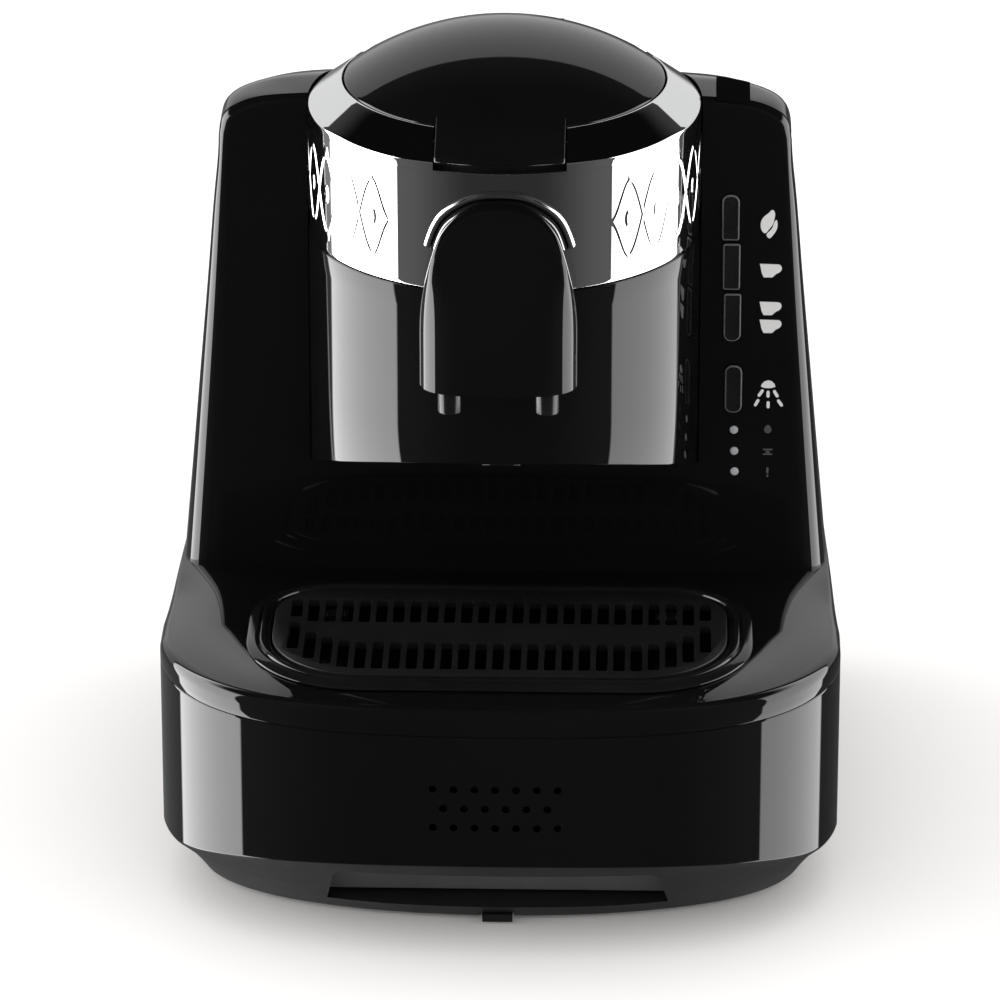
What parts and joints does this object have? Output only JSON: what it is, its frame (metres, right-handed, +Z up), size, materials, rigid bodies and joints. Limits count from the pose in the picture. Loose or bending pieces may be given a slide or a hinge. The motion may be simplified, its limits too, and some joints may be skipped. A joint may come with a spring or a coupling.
{
  "type": "electric turkish coffee maker",
  "caption": "Counter-top electric Turkish coffee maker with an overhanging brewing cylinder, twin spout, push buttons, cup grille, drip tray, waste drawer and a lift-off rear water tank.",
  "frame": {"origin": "on the table, at the bottom centre of the whole machine's box", "axes": "+Z up, -Y the front where the cups stand, +X to the right of someone facing the front"},
  "size_m": [0.2434, 0.27, 0.304],
  "materials": {
    "gloss_black": "high-gloss piano black",
    "satin_black": "satin black",
    "matte_black": "fine spark-eroded matt black",
    "chrome": "polished chrome",
    "steel": "brushed stainless",
    "aluminium": "cast",
    "black_rubber": "soft matt",
    "red_rubber": "silicone",
    "grey_plastic": "natural moulded",
    "smoked_clear": "smoked transparent",
    "light_lens": "diffusing white",
    "circuit_board": "solder mask",
    "ceramic": "ceramic",
    "pump_metal": "zinc plated",
    "hose": "silicone hose"
  },
  "bodies": {
    "machine": {"base_plate": "matte_black", "base_skirt": "matte_black", "base_housing": "gloss_black", "base_top_cover": "gloss_black", "tower_front_panel": "gloss_black", "tower_rear_shell": "gloss_black", "tower_top_cover": "gloss_black", "top_cover_insert": "matte_black", "tank_bay_liner": "matte_black", "cylinder_body": "gloss_black", "cylinder_floor": "matte_black", "cup_light_lens": "light_lens", "chrome_band": "chrome", "lid_hinge_bracket": "matte_black", "lid_hinge_pin": "steel", "pot_holder": "matte_black", "brew_pot": "steel", "pot_gasket": "red_rubber", "heater_plate": "aluminium", "heater_ring": "steel", "thermostat": "ceramic", "serving_tube": "steel", "spout_trim": "chrome", "spout_cover": "gloss_black", "spout_underplate": "satin_black", "spout_manifold": "grey_plastic", "spout_nozzles": "grey_plastic", "drain_funnel": "grey_plastic", "button_board": "circuit_board", "led_lenses": "light_lens", "tank_seat": "black_rubber", "water_pump": "pump_metal", "pump_mounts": "black_rubber", "air_pump": "grey_plastic", "water_hose": "hose", "air_hose": "hose", "control_board": "circuit_board", "power_supply": "pump_metal", "speaker": "grey_plastic", "rocker_frame": "satin_black", "cord_gland": "black_rubber", "rubber_feet": "black_rubber", "base_screws": "steel"},
    "lid": {"lid_dome": "gloss_black", "lid_tab": "satin_black", "lid_liner": "grey_plastic", "lid_gasket": "black_rubber"},
    "tray": {"drip_tray": "satin_black"},
    "grille": {"cup_grille": "matte_black"},
    "drawer": {"waste_drawer": "matte_black", "drawer_front": "matte_black"},
    "key_slow_brew": {"button_slow_brew": "satin_black"},
    "key_one_cup": {"button_one_cup": "satin_black"},
    "key_two_cups": {"button_two_cups": "satin_black"},
    "key_clean": {"button_clean": "satin_black"},
    "tank": {"water_tank": "smoked_clear", "tank_lid_pin": "steel", "tank_valve": "grey_plastic"},
    "tank_cover": {"tank_lid": "gloss_black"},
    "rocker": {"power_rocker": "satin_black"}
  },
  "joints": [
    {"name": "lid_hinge", "type": "hinge", "parent": "machine", "child": "lid", "pos_m": [0, 0.058, 0.281], "axis": [-1, 0, 0], "range_deg": [0, 92]},
    {"name": "tray_lift", "type": "slide", "parent": "machine", "child": "tray", "axis": [0, 0, 1], "range_m": [0, 0.022]},
    {"name": "grille_lift", "type": "slide", "parent": "tray", "child": "grille", "axis": [0, 0, 1], "range_m": [0, 0.014]},
    {"name": "drawer_slide", "type": "slide", "parent": "machine", "child": "drawer", "axis": [0, -1, 0], "range_m": [0, 0.108]},
    {"name": "tank_lift", "type": "slide", "parent": "machine", "child": "tank", "axis": [0, 0, 1], "range_m": [0, 0.17]},
    {"name": "tank_lid_hinge", "type": "hinge", "parent": "tank", "child": "tank_cover", "pos_m": [0, 0.09, 0.241], "axis": [1, 0, 0], "range_deg": [0, 100]},
    {"name": "rocker_hinge", "type": "hinge", "parent": "machine", "child": "rocker", "pos_m": [0.061, 0.1305, 0.049], "axis": [1, 0, 0], "range_deg": [0, 14]},
    {"name": "press_slow_brew", "type": "slide", "parent": "machine", "child": "key_slow_brew", "axis": [0, 1, 0], "range_m": [0, 0.0012], "stiffness_N_per_m": 400, "springref_m": -0.002},
    {"name": "press_one_cup", "type": "slide", "parent": "machine", "child": "key_one_cup", "axis": [0, 1, 0], "range_m": [0, 0.0012], "stiffness_N_per_m": 400, "springref_m": -0.002},
    {"name": "press_two_cups", "type": "slide", "parent": "machine", "child": "key_two_cups", "axis": [0, 1, 0], "range_m": [0, 0.0012], "stiffness_N_per_m": 400, "springref_m": -0.002},
    {"name": "press_clean", "type": "slide", "parent": "machine", "child": "key_clean", "axis": [0, 1, 0], "range_m": [0, 0.0012], "stiffness_N_per_m": 400, "springref_m": -0.002}
  ]
}
